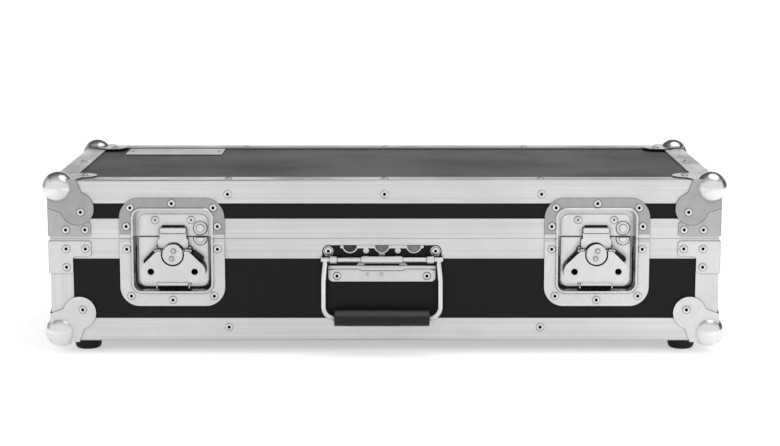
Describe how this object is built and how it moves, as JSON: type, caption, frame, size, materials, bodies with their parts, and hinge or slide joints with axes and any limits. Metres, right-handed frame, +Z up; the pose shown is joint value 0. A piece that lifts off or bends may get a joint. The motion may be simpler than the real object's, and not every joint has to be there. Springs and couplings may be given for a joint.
{
  "type": "flight case",
  "caption": "Low flight case for guitar effect pedals: laminated panels in aluminium edges, ball corners, recessed butterfly latches, a surface bail handle and a rear-hinged lid.",
  "frame": {"origin": "on the floor, under the middle of the whole outline", "axes": "+X to the right along the front, +Y from the latched front to the hinged back, +Z up"},
  "size_m": [0.7054, 0.3274, 0.1898],
  "materials": {
    "panel": "plywood faced with fine-textured black laminate",
    "edge": "natural anodised extrusion with fine lines along it",
    "rail": "natural anodised closing extrusion",
    "corner": "bright nickel-plated pressed steel",
    "brace": "zinc-plated pressed steel",
    "rivet": "blind rivets",
    "dish": "zinc-plated pressed steel",
    "latch": "bright zinc-plated steel",
    "handle_metal": "zinc-plated steel",
    "grip_rubber": "soft black rubber",
    "hinge": "zinc-plated steel",
    "foot_rubber": "firm black rubber",
    "screw": "zinc-plated screws",
    "foam": "charcoal open-cell foam",
    "nameplate": "plain satin plate, bare"
  },
  "bodies": {
    "base": {"base_floor_panel": "panel", "base_front_panel": "panel", "base_back_panel": "panel", "base_side_panels": "panel", "base_edge_front": "edge", "base_edge_back": "edge", "base_edge_left": "edge", "base_edge_right": "edge", "base_corner_posts": "edge", "base_rail_front": "rail", "base_rail_back": "rail", "base_rail_left": "rail", "base_rail_right": "rail", "base_ball_corners": "corner", "base_braces": "brace", "base_rivets": "rivet", "latch_dish_lower_left": "dish", "latch_dish_lower_right": "dish", "latch_base_left": "latch", "latch_base_right": "latch", "handle_plate": "handle_metal", "hinge_base_leaves": "hinge", "hinge_pins": "hinge", "feet": "foot_rubber", "foot_screws": "screw", "base_floor_foam": "foam", "base_wall_foam": "foam"},
    "lid": {"lid_top_panel": "panel", "lid_front_panel": "panel", "lid_back_panel": "panel", "lid_side_panels": "panel", "lid_edge_front": "edge", "lid_edge_back": "edge", "lid_edge_left": "edge", "lid_edge_right": "edge", "lid_corner_posts": "edge", "lid_rail_front": "rail", "lid_rail_back": "rail", "lid_rail_left": "rail", "lid_rail_right": "rail", "lid_ball_corners": "corner", "lid_braces": "brace", "lid_rivets": "rivet", "latch_dish_upper_left": "dish", "latch_dish_upper_right": "dish", "latch_keeper_left": "latch", "latch_keeper_right": "latch", "hinge_lid_leaves": "hinge", "lid_foam": "foam", "nameplate": "nameplate"},
    "handle": {"handle_bail": "handle_metal", "handle_grip": "grip_rubber"},
    "latch_rotor_left": {"latch_rotor_left": "latch"},
    "latch_wing_left": {"latch_wing_left": "latch"},
    "latch_hook_left": {"latch_hook_left": "latch"},
    "latch_rotor_right": {"latch_rotor_right": "latch"},
    "latch_wing_right": {"latch_wing_right": "latch"},
    "latch_hook_right": {"latch_hook_right": "latch"}
  },
  "joints": [
    {"name": "lid_hinge", "type": "hinge", "parent": "base", "child": "lid", "pos_m": [0, 0.15915, 0.1216], "axis": [-1, 0, 0], "range_deg": [0, 100]},
    {"name": "wing_fold_left", "type": "hinge", "parent": "latch_rotor_left", "child": "latch_wing_left", "pos_m": [-0.2186, -0.14235, 0.1075], "axis": [-1, 0, 0], "range_deg": [0, 90]},
    {"name": "latch_turn_left", "type": "hinge", "parent": "base", "child": "latch_rotor_left", "pos_m": [-0.2186, -0.13925, 0.1042], "axis": [0, -1, 0], "range_deg": [0, 180]},
    {"name": "hook_slide_left", "type": "slide", "parent": "base", "child": "latch_hook_left", "axis": [0, -0.2079, 0.9781], "range_m": [0, 0.007]},
    {"name": "wing_fold_right", "type": "hinge", "parent": "latch_rotor_right", "child": "latch_wing_right", "pos_m": [0.2186, -0.14235, 0.1075], "axis": [-1, 0, 0], "range_deg": [0, 90]},
    {"name": "latch_turn_right", "type": "hinge", "parent": "base", "child": "latch_rotor_right", "pos_m": [0.2186, -0.13925, 0.1042], "axis": [0, -1, 0], "range_deg": [0, 180]},
    {"name": "hook_slide_right", "type": "slide", "parent": "base", "child": "latch_hook_right", "axis": [0, -0.2079, 0.9781], "range_m": [0, 0.007]},
    {"name": "handle_swing", "type": "hinge", "parent": "base", "child": "handle", "pos_m": [-0.0027, -0.14985, 0.09985], "axis": [-1, 0, 0], "range_deg": [0, 86]}
  ],
  "couplings": [
    {"joint": "latch_turn_left", "follows": "wing_fold_left", "ratio": 2},
    {"joint": "hook_slide_left", "follows": "wing_fold_left", "m_per_rad": 0.004456},
    {"joint": "latch_turn_right", "follows": "wing_fold_right", "ratio": 2},
    {"joint": "hook_slide_right", "follows": "wing_fold_right", "m_per_rad": 0.004456}
  ]
}
